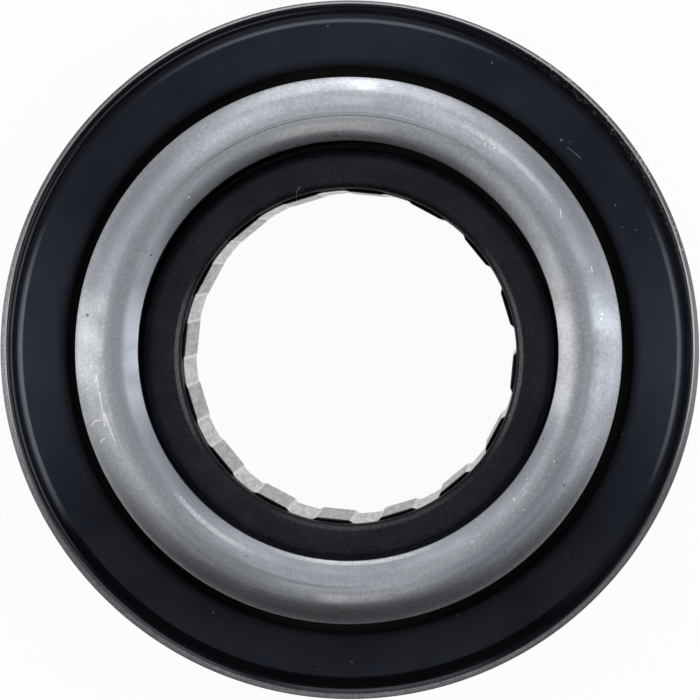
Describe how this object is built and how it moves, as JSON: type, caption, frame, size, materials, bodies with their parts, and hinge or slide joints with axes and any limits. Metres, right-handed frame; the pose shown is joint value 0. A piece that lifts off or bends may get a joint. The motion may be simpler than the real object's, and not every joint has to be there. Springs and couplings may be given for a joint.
{
  "type": "clutch release bearing",
  "caption": "Self-centring clutch release bearing: crowned steel contact nose in a black steel casing, floating on a ribbed plastic guide sleeve with a rear fork plate.",
  "frame": {"origin": "on the axis of the guide bore, in the plane of the rear face that the release fork pushes on", "axes": "+Z along the guide bore, from the fork plate to the contact nose; +Y is the way the floating bearing has dropped at rest; the plate's flats face +Y and -Y"},
  "size_m": [0.0752, 0.0752, 0.034],
  "materials": {
    "sleeve_plastic": "matte",
    "plate_steel": "satin",
    "spring_steel": "satin",
    "black_steel": "satin",
    "black_shield": "satin",
    "race_steel": "satin",
    "ball_steel": "polished",
    "cage_plastic": "satin",
    "seal_rubber": "matte"
  },
  "bodies": {
    "sleeve": {"guide_sleeve": "sleeve_plastic", "thrust_plate": "plate_steel", "retaining_ring": "spring_steel"},
    "spring": {"float_spring": "spring_steel"},
    "bearing": {"casing": "black_steel", "front_shield": "black_shield", "outer_ring": "race_steel", "front_seal": "seal_rubber", "rear_seal": "seal_rubber"},
    "nose": {"inner_ring": "race_steel"},
    "ball_set": {"ball_cage": "cage_plastic", "ball_01": "ball_steel", "ball_02": "ball_steel", "ball_03": "ball_steel", "ball_04": "ball_steel", "ball_05": "ball_steel", "ball_06": "ball_steel", "ball_07": "ball_steel", "ball_08": "ball_steel", "ball_09": "ball_steel", "ball_10": "ball_steel", "ball_11": "ball_steel", "ball_12": "ball_steel", "ball_13": "ball_steel", "ball_14": "ball_steel", "ball_15": "ball_steel", "ball_16": "ball_steel"}
  },
  "joints": [
    {"name": "float_x", "type": "slide", "parent": "sleeve", "child": "spring", "axis": [1, 0, 0], "range_m": [-0.00045, 0.00045]},
    {"name": "float_y", "type": "slide", "parent": "spring", "child": "bearing", "axis": [0, 1, 0], "range_m": [-0.00126, 0]},
    {"name": "race_spin", "type": "hinge", "parent": "bearing", "child": "nose", "pos_m": [0, 0.00063, 0.017], "axis": [0, 0, 1], "continuous": true},
    {"name": "cage_spin", "type": "hinge", "parent": "bearing", "child": "ball_set", "pos_m": [0, 0.00063, 0.017], "axis": [0, 0, 1], "continuous": true}
  ],
  "couplings": [
    {"joint": "cage_spin", "follows": "race_spin", "ratio": 0.44}
  ]
}
